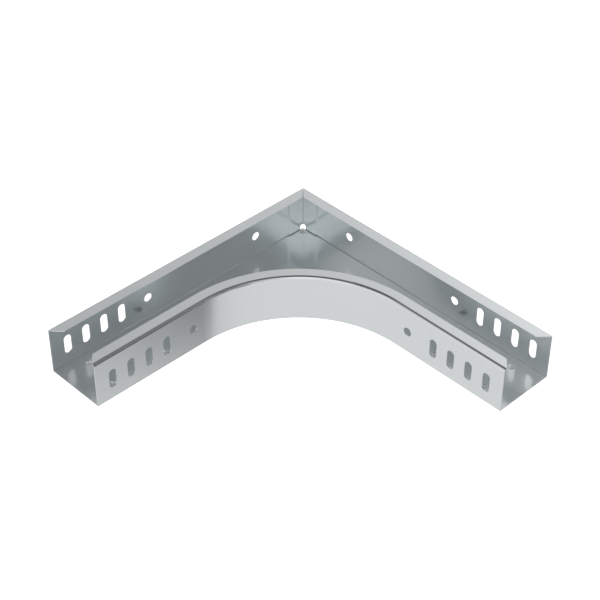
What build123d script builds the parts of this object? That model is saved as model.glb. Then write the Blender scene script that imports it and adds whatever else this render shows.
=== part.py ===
from build123d import *
import os

# A level 90 degree bend for a sheet steel cable tray, in millimetres.
# It is drawn with the square outer corner at X 0, Y 0 and the floor's underside at Z 0.
# One leg runs along +X, the other along -Y, and each is the other's mirror image in the diagonal plane.

# The run of the bend
TRAY_WIDTH = 80.0
SIDE_HEIGHT = 60.0
INNER_RADIUS = 152.0
STRAIGHT_LENGTH = 155.0

# The sheet and its folds, where a fold radius is the one inside the fold
SHEET = 1.0
FLOOR_FOLD_RADIUS = 1.0
OUTER_TOP_FOLD_RADIUS = 0.5
RAIL_TOP_FOLD_RADIUS = 2.5

# The top flanges, measured from the outside face of their wall
OUTER_FLANGE = 14.5
OUTER_FLANGE_END_CUT = 12.0
RAIL_FLANGE = 15.0
RAIL_FLANGE_END_CUT = 10.0

# The outer corner
WALL_SEAM = 0.3
FLANGE_MITRE_GAP = 1.4
CORNER_HOLE_DIAMETER = 7.4

# The angle inside the outer corner
ANGLE_LEG = 25.0
ANGLE_SHEET = 1.5
ANGLE_FOLD_RADIUS = 0.6
ANGLE_CLEARANCE = 0.5
ANGLE_HOLE_CLEARANCE = 0.3

# The upright slots for connectors, counted from each end of a leg
SLOT_COUNT = 4
SLOT_PITCH = 25.5
SLOT_FROM_END = 23.0
SLOT_WIDTH = 10.0
SLOT_LENGTH = 25.0
SLOT_CENTRE_HEIGHT = 27.0

# The round holes in the side walls
HOLE_DIAMETER = 11.0
HOLE_HEIGHT = 28.0
HOLE_FROM_END = 138.0
HOLE_FROM_CORNER = 80.5

# The countersunk holes in the floor of each leg
FLOOR_HOLE_DIAMETER = 3.4
COUNTERSINK_DIAMETER = 6.6
COUNTERSINK_DEPTH = 0.8
FLOOR_HOLE_FROM_END = 36.5
FLOOR_HOLE_PITCH = 75.0
FLOOR_HOLE_SPREAD = 45.0

# How far a cutting tool reaches past the metal, and a wall's section into the floor
OVERCUT = 2.0
CORNER_HOLE_REACH = 24.0

# How far a sloped cutting line runs past each end of its cut, as a share of its length
OVERRUN = 0.2

LEG_LENGTH = TRAY_WIDTH + INNER_RADIUS + STRAIGHT_LENGTH
ARC_CENTRE = TRAY_WIDTH + INNER_RADIUS
FLOOR_FOLD = FLOOR_FOLD_RADIUS + SHEET
MIRROR_PLANE = Plane(origin=(0, 0, 0), z_dir=(1, 1, 0))


def both_legs(shape):
    """The shape as drawn on the +X leg, together with its mirror image on the -Y leg."""
    return shape + mirror(shape, about=MIRROR_PLANE)


def folded_section(face_line, side, thickness=SHEET):
    """The closed section of a sheet whose outside face follows this line."""
    return make_face(offset(face_line, amount=thickness, side=side))


def sloped_cut(start, end, far_x, bottom):
    """All that lies between the line through two points in plan and X far_x, from bottom up."""
    extra = (end - start) * OVERRUN
    before, after = start - extra, end + extra
    outline = Polygon(before, after, (far_x, after.Y), (far_x, before.Y), align=None)
    height = SIDE_HEIGHT + OVERCUT - bottom
    return Pos(0, 0, bottom) * extrude(outline, height, dir=(0, 0, 1))


def flange_end_cut(cut, flange, fold, wall_face, inward):
    """The corner cut off a flange at the leg's end, from its fold to its free edge."""
    start = Vector(LEG_LENGTH, wall_face + inward * fold)
    end = Vector(LEG_LENGTH - cut, wall_face + inward * flange)
    return sloped_cut(start, end, LEG_LENGTH + cut, SIDE_HEIGHT - SHEET - OVERCUT)


def corner_mitre():
    """What the +X leg's wall and flange give up at the outer corner: a seam that opens inward."""
    start = Vector(WALL_SEAM / 2, 0)
    end = Vector(OUTER_FLANGE + FLANGE_MITRE_GAP / 2, -OUTER_FLANGE)
    return sloped_cut(start, end, -OUTER_FLANGE, -OVERCUT)


def floor_plate():
    """The flat floor, square at the outer corner and curved along the inner rail."""
    rail_face = TRAY_WIDTH - SHEET
    edge = Polyline(
        (ARC_CENTRE, -rail_face),
        (LEG_LENGTH, -rail_face),
        (LEG_LENGTH, -FLOOR_FOLD),
        (FLOOR_FOLD, -FLOOR_FOLD),
        (FLOOR_FOLD, -LEG_LENGTH),
        (rail_face, -LEG_LENGTH),
        (rail_face, -ARC_CENTRE),
    )
    curve = CenterArc((ARC_CENTRE, -ARC_CENTRE), INNER_RADIUS + SHEET, 90, 90)
    return extrude(make_face(edge + curve), SHEET)


def outer_wall():
    """The +X leg's outer wall with its floor fold and top flange, mitred at the outer corner."""
    bottom = Line((FLOOR_FOLD + OVERCUT, 0), (FLOOR_FOLD, 0))
    floor_fold = CenterArc((FLOOR_FOLD, FLOOR_FOLD), FLOOR_FOLD, 270, -90)
    top_fold_size = OUTER_TOP_FOLD_RADIUS + SHEET
    upright = Line((0, FLOOR_FOLD), (0, SIDE_HEIGHT - top_fold_size))
    top_fold = CenterArc((top_fold_size, SIDE_HEIGHT - top_fold_size), top_fold_size, 180, -90)
    flange = Line((top_fold_size, SIDE_HEIGHT), (OUTER_FLANGE, SIDE_HEIGHT))
    face_line = Wire([bottom, floor_fold, upright, top_fold, flange])
    end_plane = Plane(origin=(LEG_LENGTH, 0, 0), x_dir=(0, -1, 0), z_dir=(-1, 0, 0))
    wall = extrude(end_plane * folded_section(face_line, Side.RIGHT), LEG_LENGTH)
    end_cut = flange_end_cut(OUTER_FLANGE_END_CUT, OUTER_FLANGE, top_fold_size, 0, -1)
    return wall - corner_mitre() - end_cut


def corner_hole(clearance=0.0):
    """The hole drilled along the corner's diagonal, where the floor and both walls would meet."""
    inside_corner = Plane(origin=(SHEET, -SHEET, SHEET), z_dir=(1, -1, 1))
    return inside_corner * Cylinder(CORNER_HOLE_DIAMETER / 2 + clearance, CORNER_HOLE_REACH)


def wall_openings():
    """The slots and round holes of the +X leg, cut straight across both of its walls."""
    openings = Sketch()
    for index in range(SLOT_COUNT):
        along = LEG_LENGTH - SLOT_FROM_END - index * SLOT_PITCH
        slot = SlotOverall(SLOT_LENGTH, SLOT_WIDTH, rotation=90)
        openings += Pos(along, SLOT_CENTRE_HEIGHT) * slot
    for along in (LEG_LENGTH - HOLE_FROM_END, HOLE_FROM_CORNER):
        openings += Pos(along, HOLE_HEIGHT) * Circle(HOLE_DIAMETER / 2)
    outside = Plane(origin=(0, OVERCUT, 0), x_dir=(1, 0, 0), z_dir=(0, -1, 0))
    return extrude(outside * openings, TRAY_WIDTH + 2 * OVERCUT)


def floor_holes():
    """The countersunk holes of the +X leg, two and two about the leg's middle line."""
    drill = Pos(0, 0, SHEET / 2) * Cylinder(FLOOR_HOLE_DIAMETER / 2, SHEET + 2 * OVERCUT)
    cone = Cone(FLOOR_HOLE_DIAMETER / 2, COUNTERSINK_DIAMETER / 2, COUNTERSINK_DEPTH)
    tool = drill + Pos(0, 0, SHEET - COUNTERSINK_DEPTH / 2) * cone
    holes = Part()
    for from_end in (FLOOR_HOLE_FROM_END, FLOOR_HOLE_FROM_END + FLOOR_HOLE_PITCH):
        for side in (-1, 1):
            across = -TRAY_WIDTH / 2 + side * FLOOR_HOLE_SPREAD / 2
            holes += Pos(LEG_LENGTH - from_end, across, 0) * tool
    return holes


def tray_sheet():
    """Floor, outer walls and outer flanges, folded from one sheet."""
    sheet = floor_plate() + both_legs(outer_wall())
    return sheet - corner_hole() - both_legs(wall_openings()) - both_legs(floor_holes())


def inner_rail():
    """The inner side wall with its top flange: straight, a quarter arc, straight."""
    top_fold_size = RAIL_TOP_FOLD_RADIUS + SHEET
    upright = Line((0, 0), (0, SIDE_HEIGHT - top_fold_size))
    top_fold = CenterArc((top_fold_size, SIDE_HEIGHT - top_fold_size), top_fold_size, 180, -90)
    flange = Line((top_fold_size, SIDE_HEIGHT), (RAIL_FLANGE, SIDE_HEIGHT))
    face_line = Wire([upright, top_fold, flange])
    arc_start = Plane(origin=(ARC_CENTRE, -TRAY_WIDTH, 0), x_dir=(0, 1, 0), z_dir=(1, 0, 0))
    section = arc_start * folded_section(face_line, Side.RIGHT)
    straight = extrude(section, STRAIGHT_LENGTH)
    straight -= flange_end_cut(RAIL_FLANGE_END_CUT, RAIL_FLANGE, top_fold_size, -TRAY_WIDTH, 1)
    arc = revolve(section, Axis((ARC_CENTRE, -ARC_CENTRE, 0), (0, 0, 1)), 90)
    return arc + both_legs(straight) - both_legs(wall_openings())


def corner_angle():
    """The bent angle inside the outer corner, clear of the floor fold, the flanges and the hole."""
    fold_size = ANGLE_FOLD_RADIUS + ANGLE_SHEET
    tangent = SHEET + fold_size
    first = Line((SHEET, -ANGLE_LEG), (SHEET, -tangent))
    fold = CenterArc((tangent, -tangent), fold_size, 180, -90)
    second = Line((tangent, -SHEET), (ANGLE_LEG, -SHEET))
    section = folded_section(Wire([first, fold, second]), Side.RIGHT, ANGLE_SHEET)
    bottom = FLOOR_FOLD + ANGLE_CLEARANCE
    top = SIDE_HEIGHT - SHEET - OUTER_TOP_FOLD_RADIUS - ANGLE_CLEARANCE
    angle = Pos(0, 0, bottom) * extrude(section, top - bottom)
    return angle - corner_hole(ANGLE_HOLE_CLEARANCE)


def main():
    os.makedirs("parts", exist_ok=True)
    to_middle = Pos(-LEG_LENGTH / 2, LEG_LENGTH / 2, 0)
    nodes = {
        "tray_sheet": tray_sheet(),
        "inner_rail": inner_rail(),
        "corner_angle": corner_angle(),
    }
    for name, shape in nodes.items():
        export_step(to_middle * shape, f"parts/{name}.step")


main()
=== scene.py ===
import math

import bmesh
import bpy
from mathutils import Matrix, Vector


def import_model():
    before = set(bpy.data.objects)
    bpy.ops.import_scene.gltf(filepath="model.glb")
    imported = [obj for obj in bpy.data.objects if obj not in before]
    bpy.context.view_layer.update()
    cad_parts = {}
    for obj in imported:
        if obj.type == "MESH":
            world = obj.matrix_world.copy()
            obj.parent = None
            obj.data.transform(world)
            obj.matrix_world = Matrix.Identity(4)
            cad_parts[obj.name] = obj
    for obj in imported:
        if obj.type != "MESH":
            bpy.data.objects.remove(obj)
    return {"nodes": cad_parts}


# The cable tray bend as the photograph shows it: strip-galvanised steel in an even white studio.
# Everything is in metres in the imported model's frame. The outer corner is at -X, +Y,
# and the bend stands on Z 0.

MM = 0.001
IMAGE_WIDTH = 600
SENSOR_WIDTH = 36.0

# The photograph's camera, fitted to the part's own edges and holes
CAMERA_PLACE = Vector((0.92201, -0.8968, 1.1532))
CAMERA_FOCAL_PIXELS = 1557.04
CAMERA_HEADING = 45.786
CAMERA_TILT = -39.16
CAMERA_ROLL = 0.127
CAMERA_CLIPPING = (0.05, 100.0)

# The zinc coat: its crystals' width, the width of its clouds, how much the crystals count,
# and the values between which the clouds change the roughness
CRYSTAL_SIZE = 3 * MM
CLOUD_SIZE = 60 * MM
CRYSTAL_SHARE = 0.35
CLOUD_RANGE = (0.3, 0.7)
ZINC_DARK, ZINC_LIGHT = "#ECF0F1", "#F2F6F7"
# Painted shade colours: the dark on the folds, and the dark in the corner angle's inside crease
FOLD_SHADE_COLOUR, CREASE_SHADE_COLOUR = "#9A9E9F", "#8E9293"
# Roughness where the coat mirrors, and of the haze from its fine grain, with the haze's share
ZINC_ROUGHNESS = (0.12, 0.16)
HAZE_ROUGHNESS = 0.42
HAZE_SHARE = 0.5
# The upward part of a face's normal, 0 on a wall and 1 on the floor, where a fold's painted shade
# starts, is full, is still full and has ended
FOLD_FACING = (0.66, 0.8, 0.98, 0.996)
# The painted fold shade grows between these heights, from that of the floor's folds to that of the
# top ones
UPPER_FOLDS = (50 * MM, 54 * MM)
FLOOR_FOLD_SHADE_SHARE = 0.75
# The height of the tray floor's top face, and the height at which a face is a countersink's
FLOOR_TOP = 1.0 * MM
COUNTERSINK_TOP = 0.97 * MM

# Where the corner angle's inside crease stands in plan, how far from it the painted shade is full,
# and how far it reaches
ANGLE_CREASE = Vector((-191.0, 191.0, 0)) * MM
CREASE_REACH = (0.2 * MM, 0.6 * MM)

# The hole in each leg's floor that the outer wall mirrors: its width, and its places in plan
MIRRORED_HOLE_DIAMETER = 10.5 * MM
MIRRORED_HOLES = ((-173.8 * MM, -56.3 * MM), (56.3 * MM, 173.8 * MM))
DRILL_LENGTH = 6 * MM
DRILL_SIDES = 48

# The studio's floor, just clear of the part: its colour and its glow to the camera,
# in the open and in the shadow painted under the tray
FLOOR_SIZE = 12.0
FLOOR_DROP = 0.02 * MM
FLOOR_WHITE, FLOOR_SHADOW_UNDER_TRAY = "#E8E8E8", "#646464"
FLOOR_GLOW, GLOW_IN_SHADOW_UNDER_TRAY = 0.85, 0.27
# The floor under each leg: how far its middle line lies from the centre, half its width and length
LEG_SHADOW = (154 * MM, 38 * MM, 192 * MM)
# A mirrored ray shorter than this comes from the part's underside, which lies on the floor
UNDERSIDE_RAY = 1 * MM

# The room above the horizon, the table below it, how far above and below it the two blend,
# and the darkest that any part of them gets
ROOM_TONE = 0.21
TABLE_TONE = 0.73
HORIZON_BLEND = 0.04
DARKEST_TONE = 0.03

# Inside the channel, light goes from face to face many times
GLOSSY_BOUNCES = 12

# The studio's soft lights: azimuth, elevation, half width of the bright part and of all of it
# in degrees, strength
STUDIO_LIGHTS = {
    "behind_camera": (-60, 40, 0, 36, 0.43),
    "right_of_camera": (-30, 40, 0, 36, 0.36),
    "low_behind_camera": (-60, 12, 0, 36, 0.2),
    "low_right_of_camera": (-30, 12, 0, 36, 0.15),
    "window_behind_camera": (-45, 9, 0, 20, 0.25),
    "low_left_of_camera": (-90, 12, 0, 36, 0.34),
    "low_left": (-120, 12, 0, 36, 0.34),
    "left": (-150, 40, 0, 36, 0.18),
    "far_left": (180, 40, 0, 36, 0.19),
    "far_wall": (120, 40, 0, 36, 0.24),
    "low_far_wall": (120, 12, 0, 36, 0.42),
    "far_right": (90, 40, 0, 36, 0.6),
    # A painted shadow of the part on the table: a dark patch to the right of the part, whose edge
    # the rail's left face mirrors
    "dark_card": (43, -13, 26.5, 29.5, -0.68),
}


def linear(hex_colour):
    """The linear RGBA of an sRGB colour written as hex."""
    channels = (int(hex_colour[i : i + 2], 16) / 255 for i in (1, 3, 5))
    return (*(c / 12.92 if c <= 0.04045 else ((c + 0.055) / 1.055) ** 2.4 for c in channels), 1.0)


def add_node(tree, kind, settings=None, **inputs):
    """A new node with its settings, and each input set to a value or linked from an output.

    An input goes by its name, with _ for a space, or by in and its number.
    """
    node = tree.nodes.new(kind)
    for name, value in (settings or {}).items():
        setattr(node, name, value)
    for name, value in inputs.items():
        key = name.replace("_", " ")
        numbered = key.startswith("in") and key[2:].isdigit()
        socket = node.inputs[int(key[2:])] if numbered else node.inputs[key]
        if isinstance(value, bpy.types.NodeSocket):
            tree.links.new(value, socket)
        else:
            socket.default_value = value
    return node


def new_material(name):
    """An empty material and its node tree."""
    material = bpy.data.materials.new(name)
    material.use_nodes = True
    material.node_tree.nodes.clear()
    return material, material.node_tree


def zinc_coat(tree, place):
    """The coat's colour and roughness, from its crystals and from the faint clouds of handling."""
    crystals = add_node(
        tree,
        "ShaderNodeTexVoronoi",
        {"feature": "F1"},
        Vector=place.outputs["Object"],
        Scale=1 / CRYSTAL_SIZE,
    )
    crystal_tone = add_node(tree, "ShaderNodeSeparateColor", Color=crystals.outputs["Color"])
    clouds = add_node(
        tree,
        "ShaderNodeTexNoise",
        Vector=place.outputs["Object"],
        Scale=1 / CLOUD_SIZE,
        Detail=3.0,
    )
    tone = add_node(
        tree,
        "ShaderNodeMix",
        {"data_type": "FLOAT"},
        Factor=CRYSTAL_SHARE,
        A=clouds.outputs["Fac"],
        B=crystal_tone.outputs["Red"],
    )
    colour = add_node(
        tree,
        "ShaderNodeMix",
        {"data_type": "RGBA"},
        Factor=tone.outputs["Result"],
        A=linear(ZINC_DARK),
        B=linear(ZINC_LIGHT),
    )
    roughness = add_node(
        tree,
        "ShaderNodeMapRange",
        Value=clouds.outputs["Fac"],
        From_Min=CLOUD_RANGE[0],
        From_Max=CLOUD_RANGE[1],
        To_Min=ZINC_ROUGHNESS[0],
        To_Max=ZINC_ROUGHNESS[1],
    )
    return colour.outputs["Result"], roughness.outputs["Result"]


def folds_and_countersinks(tree, place, height):
    """1 on the folds, and 1 on the countersinks.

    Both slope, but the countersinks lie below the top of the tray's floor.
    """
    facing = add_node(tree, "ShaderNodeSeparateXYZ", Vector=place.outputs["Normal"])
    starts, full, still_full, ended = FOLD_FACING
    past_wall = add_node(
        tree,
        "ShaderNodeMapRange",
        Value=facing.outputs["Z"],
        From_Min=starts,
        From_Max=full,
        To_Min=0.0,
        To_Max=1.0,
    )
    short_of_flat = add_node(
        tree,
        "ShaderNodeMapRange",
        Value=facing.outputs["Z"],
        From_Min=still_full,
        From_Max=ended,
        To_Min=1.0,
        To_Max=0.0,
    )
    sloping = add_node(
        tree,
        "ShaderNodeMath",
        {"operation": "MULTIPLY"},
        in0=past_wall.outputs["Result"],
        in1=short_of_flat.outputs["Result"],
    )
    above_floor = add_node(
        tree,
        "ShaderNodeMapRange",
        Value=height,
        From_Min=COUNTERSINK_TOP,
        From_Max=FLOOR_TOP,
        To_Min=0.0,
        To_Max=1.0,
    )
    folded = add_node(
        tree,
        "ShaderNodeMath",
        {"operation": "MULTIPLY"},
        in0=sloping.outputs["Value"],
        in1=above_floor.outputs["Result"],
    )
    countersunk = add_node(
        tree,
        "ShaderNodeMath",
        {"operation": "SUBTRACT"},
        in0=sloping.outputs["Value"],
        in1=folded.outputs["Value"],
    )
    return folded.outputs["Value"], countersunk.outputs["Value"]


def painted_fold_shade(tree, height, folded):
    """How strongly shade is painted on the folds: in full on the top folds, a little less at the
    floor.
    """
    at_top = add_node(
        tree,
        "ShaderNodeMapRange",
        Value=height,
        From_Min=UPPER_FOLDS[0],
        From_Max=UPPER_FOLDS[1],
        To_Min=FLOOR_FOLD_SHADE_SHARE,
        To_Max=1.0,
    )
    # Painted shade on the folds, a little weaker on the floor's folds
    painted_shade = add_node(
        tree,
        "ShaderNodeMath",
        {"operation": "MULTIPLY"},
        in0=folded,
        in1=at_top.outputs["Result"],
    )
    return painted_shade.outputs["Value"]


def painted_crease_shade(tree, place, crease):
    """How strongly shade is painted along an upright inside crease that stands at a place in plan.
    """
    in_plan = add_node(
        tree,
        "ShaderNodeVectorMath",
        {"operation": "MULTIPLY"},
        in0=place.outputs["Object"],
        in1=(1, 1, 0),
    )
    from_crease = add_node(
        tree,
        "ShaderNodeVectorMath",
        {"operation": "DISTANCE"},
        in0=in_plan.outputs["Vector"],
        in1=crease,
    )
    # Painted shade, full close to the crease and fading out beyond
    crease_shade = add_node(
        tree,
        "ShaderNodeMapRange",
        Value=from_crease.outputs["Value"],
        From_Min=CREASE_REACH[0],
        From_Max=CREASE_REACH[1],
        To_Min=1.0,
        To_Max=0.0,
    )
    return crease_shade.outputs["Result"]


def strip_galvanised_steel(name, crease=None):
    """Steel strip with a smooth hot-dip zinc coat, rolled after coating.

    It shows its surroundings softly blurred in a cool grey. Its zinc crystals, about 3 mm across,
    are a little lighter or darker than each other. On the folds its colour is darkened as painted
    shade, and where an inside corner has an upright crease, a dark line of painted shade lies in
    it.
    """
    material, tree = new_material(name)
    place = add_node(tree, "ShaderNodeTexCoord")
    zinc, roughness = zinc_coat(tree, place)
    height = add_node(tree, "ShaderNodeSeparateXYZ", Vector=place.outputs["Object"]).outputs["Z"]
    folded, countersunk = folds_and_countersinks(tree, place, height)
    # Shade is painted on the sheet's folds, or in the corner angle's inside crease
    if crease is None:
        painted_shade, painted_shade_colour = painted_fold_shade(tree, height, folded), FOLD_SHADE_COLOUR
    else:
        painted_shade, painted_shade_colour = painted_crease_shade(tree, place, crease), CREASE_SHADE_COLOUR
    colour = add_node(
        tree,
        "ShaderNodeMix",
        {"data_type": "RGBA"},
        Factor=painted_shade,
        A=zinc,
        B=linear(painted_shade_colour),
    )
    # The smooth zinc mirrors what is near it, and its fine grain spreads a haze around that
    mirror = add_node(
        tree,
        "ShaderNodeBsdfPrincipled",
        Base_Color=colour.outputs["Result"],
        Metallic=1.0,
        Roughness=roughness,
    )
    haze = add_node(
        tree,
        "ShaderNodeBsdfPrincipled",
        Base_Color=colour.outputs["Result"],
        Metallic=1.0,
        Roughness=HAZE_ROUGHNESS,
    )
    # A countersink is cut clean, so it has no grain
    grain = add_node(
        tree,
        "ShaderNodeMapRange",
        Value=countersunk,
        From_Min=0.0,
        From_Max=1.0,
        To_Min=HAZE_SHARE,
        To_Max=0.0,
    )
    shader = add_node(
        tree,
        "ShaderNodeMixShader",
        in0=grain.outputs["Result"],
        in1=mirror.outputs["BSDF"],
        in2=haze.outputs["BSDF"],
    )
    add_node(tree, "ShaderNodeOutputMaterial", Surface=shader.outputs["Shader"])
    return material


def under_a_leg(tree, place, across, along):
    """1 on the floor right under one leg of the bend, and 0 elsewhere.

    The last two are the names of the axes across the leg and along it.
    """
    middle, half_width, half_length = LEG_SHADOW
    beside = add_node(
        tree,
        "ShaderNodeMath",
        {"operation": "COMPARE"},
        in0=place.outputs[across],
        in1=middle if across == "Y" else -middle,
        in2=half_width,
    )
    lengthwise = add_node(
        tree,
        "ShaderNodeMath",
        {"operation": "COMPARE"},
        in0=place.outputs[along],
        in1=0.0,
        in2=half_length,
    )
    both = add_node(
        tree,
        "ShaderNodeMath",
        {"operation": "MULTIPLY"},
        in0=beside.outputs["Value"],
        in1=lengthwise.outputs["Value"],
    )
    return both.outputs["Value"]


def studio_floor():
    """A plain white floor that keeps the part's soft shadow.

    The steel looks through it to the world's pale lower half. Right under the tray a shadow is
    painted on it, and there it also shows in the steel, through the holes in the tray's floor.
    """
    material, tree = new_material("white_studio_floor")
    ray = add_node(tree, "ShaderNodeLightPath")
    where = add_node(tree, "ShaderNodeTexCoord").outputs["Object"]
    place = add_node(tree, "ShaderNodeSeparateXYZ", Vector=where)
    # Painted shadow under the tray: a darker colour and a weaker glow there
    painted_tray_shadow = add_node(
        tree,
        "ShaderNodeMath",
        {"operation": "MAXIMUM"},
        in0=under_a_leg(tree, place, "X", "Y"),
        in1=under_a_leg(tree, place, "Y", "X"),
    )
    glow_strength = add_node(
        tree,
        "ShaderNodeMapRange",
        Value=painted_tray_shadow.outputs["Value"],
        From_Min=0.0,
        From_Max=1.0,
        To_Min=FLOOR_GLOW,
        To_Max=GLOW_IN_SHADOW_UNDER_TRAY,
    )
    seen = add_node(
        tree,
        "ShaderNodeMath",
        {"operation": "MULTIPLY"},
        in0=ray.outputs["Is Camera Ray"],
        in1=glow_strength.outputs["Result"],
    )
    shade = add_node(
        tree,
        "ShaderNodeMix",
        {"data_type": "RGBA"},
        Factor=painted_tray_shadow.outputs["Value"],
        A=linear(FLOOR_WHITE),
        B=linear(FLOOR_SHADOW_UNDER_TRAY),
    )
    matt = add_node(tree, "ShaderNodeBsdfDiffuse", Color=shade.outputs["Result"])
    glow = add_node(
        tree,
        "ShaderNodeEmission",
        Color=(1, 1, 1, 1),
        Strength=seen.outputs["Value"],
    )
    white = add_node(
        tree,
        "ShaderNodeAddShader",
        in0=matt.outputs["BSDF"],
        in1=glow.outputs["Emission"],
    )
    # Seen from below, the floor is out of the way
    below = add_node(tree, "ShaderNodeNewGeometry").outputs["Backfacing"]
    # Under the tray the painted shadow stays for the steel above it, but not for the part's own
    # underside
    from_above = add_node(
        tree,
        "ShaderNodeMath",
        {"operation": "GREATER_THAN"},
        in0=ray.outputs["Ray Length"],
        in1=UNDERSIDE_RAY,
    )
    kept = add_node(
        tree,
        "ShaderNodeMath",
        {"operation": "MULTIPLY"},
        in0=painted_tray_shadow.outputs["Value"],
        in1=from_above.outputs["Value"],
    )
    open_floor = add_node(
        tree,
        "ShaderNodeMath",
        {"operation": "SUBTRACT"},
        in0=1.0,
        in1=kept.outputs["Value"],
    )
    mirrored = add_node(
        tree,
        "ShaderNodeMath",
        {"operation": "MULTIPLY"},
        in0=ray.outputs["Is Glossy Ray"],
        in1=open_floor.outputs["Value"],
    )
    passed = add_node(
        tree,
        "ShaderNodeMath",
        {"operation": "MAXIMUM"},
        in0=mirrored.outputs["Value"],
        in1=below,
    )
    clear = add_node(tree, "ShaderNodeBsdfTransparent")
    shown = add_node(
        tree,
        "ShaderNodeMixShader",
        in0=passed.outputs["Value"],
        in1=white.outputs["Shader"],
        in2=clear.outputs["BSDF"],
    )
    add_node(tree, "ShaderNodeOutputMaterial", Surface=shown.outputs["Shader"])
    return material


def direction(azimuth, elevation):
    """The unit vector at an azimuth from +X towards +Y and an elevation, both in degrees."""
    a, e = math.radians(azimuth), math.radians(elevation)
    return Vector((math.cos(a) * math.cos(e), math.sin(a) * math.cos(e), math.sin(e)))


def studio_world():
    """A dim room with large soft lights that fade out at their edges, over a pale table.

    The steel shows all of it, and the camera sees plain white.
    """
    world = bpy.data.worlds.new("studio")
    bpy.context.scene.world = world
    world.use_nodes = True
    tree = world.node_tree
    tree.nodes.clear()
    towards = add_node(tree, "ShaderNodeTexCoord").outputs["Generated"]
    height = add_node(tree, "ShaderNodeSeparateXYZ", Vector=towards).outputs["Z"]
    total = add_node(
        tree,
        "ShaderNodeMapRange",
        Value=height,
        From_Min=-HORIZON_BLEND,
        From_Max=HORIZON_BLEND,
        To_Min=TABLE_TONE,
        To_Max=ROOM_TONE,
    ).outputs["Result"]
    for azimuth, elevation, inner, outer, strength in STUDIO_LIGHTS.values():
        facing = add_node(
            tree,
            "ShaderNodeVectorMath",
            {"operation": "DOT_PRODUCT"},
            in0=towards,
            in1=direction(azimuth, elevation),
        )
        glow = add_node(
            tree,
            "ShaderNodeMapRange",
            {"interpolation_type": "SMOOTHSTEP"},
            Value=facing.outputs["Value"],
            From_Min=math.cos(math.radians(outer)),
            From_Max=math.cos(math.radians(inner)),
            To_Min=0.0,
            To_Max=strength,
        )
        total = add_node(
            tree,
            "ShaderNodeMath",
            {"operation": "ADD"},
            in0=glow.outputs["Result"],
            in1=total,
        ).outputs["Value"]
    lit = add_node(
        tree,
        "ShaderNodeMath",
        {"operation": "MAXIMUM"},
        in0=total,
        in1=DARKEST_TONE,
    )
    seen = add_node(tree, "ShaderNodeLightPath").outputs["Is Camera Ray"]
    shown = add_node(
        tree,
        "ShaderNodeMath",
        {"operation": "MAXIMUM"},
        in0=lit.outputs["Value"],
        in1=seen,
    )
    background = add_node(
        tree,
        "ShaderNodeBackground",
        Color=(1, 1, 1, 1),
        Strength=shown.outputs["Value"],
    )
    add_node(tree, "ShaderNodeOutputWorld", Surface=background.outputs["Background"])


def studio_camera():
    """The camera of the photograph, from its heading, tilt and roll."""
    data = bpy.data.cameras.new("camera")
    data.sensor_width = SENSOR_WIDTH
    data.lens = CAMERA_FOCAL_PIXELS * SENSOR_WIDTH / IMAGE_WIDTH
    data.clip_start, data.clip_end = CAMERA_CLIPPING
    camera = bpy.data.objects.new("camera", data)
    bpy.context.scene.collection.objects.link(camera)
    heading, roll = math.radians(CAMERA_HEADING), math.radians(CAMERA_ROLL)
    ahead = direction(90 + CAMERA_HEADING, CAMERA_TILT)
    level = Vector((math.cos(heading), math.sin(heading), 0))
    upright = level.cross(ahead)
    right = level * math.cos(roll) + upright * math.sin(roll)
    up = upright * math.cos(roll) - level * math.sin(roll)
    turn = Matrix((right, up, -ahead)).transposed()
    camera.matrix_world = Matrix.Translation(CAMERA_PLACE) @ turn.to_4x4()
    bpy.context.scene.camera = camera


def cut_mirrored_holes(sheet):
    """Cut the two floor holes that the photograph shows only as dark patches in the outer walls."""
    radius = MIRRORED_HOLE_DIAMETER / 2
    for number, (x, y) in enumerate(MIRRORED_HOLES, start=1):
        drill = bmesh.new()
        bmesh.ops.create_cone(
            drill,
            cap_ends=True,
            segments=DRILL_SIDES,
            radius1=radius,
            radius2=radius,
            depth=DRILL_LENGTH,
        )
        mesh = bpy.data.meshes.new(f"floor_hole_{number}")
        drill.to_mesh(mesh)
        drill.free()
        cutter = bpy.data.objects.new(f"floor_hole_{number}", mesh)
        cutter.location = (x, y, 0)
        cut = sheet.modifiers.new(f"floor_hole_{number}", "BOOLEAN")
        cut.operation = "DIFFERENCE"
        cut.solver = "EXACT"
        cut.object = cutter


def stage_floor():
    """The floor that the bend stands on."""
    mesh = bpy.data.meshes.new("floor")
    half = FLOOR_SIZE / 2
    corners = [(-half, -half, 0), (half, -half, 0), (half, half, 0), (-half, half, 0)]
    mesh.from_pydata(corners, [], [(0, 1, 2, 3)])
    floor = bpy.data.objects.new("floor", mesh)
    bpy.context.scene.collection.objects.link(floor)
    floor.location.z = -FLOOR_DROP
    mesh.materials.append(studio_floor())


def main():
    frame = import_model()
    bpy.context.view_layer.update()
    bpy.context.scene.view_settings.view_transform = "Standard"
    bpy.context.scene.cycles.glossy_bounces = GLOSSY_BOUNCES
    sheet_steel = strip_galvanised_steel("strip_galvanised_steel")
    angle_steel = strip_galvanised_steel("strip_galvanised_angle", ANGLE_CREASE)
    for name, node in frame["nodes"].items():
        node.data.materials.clear()
        node.data.materials.append(angle_steel if name == "corner_angle" else sheet_steel)
    cut_mirrored_holes(frame["nodes"]["tray_sheet"])
    stage_floor()
    studio_world()
    studio_camera()
    bpy.context.view_layer.update()


main()
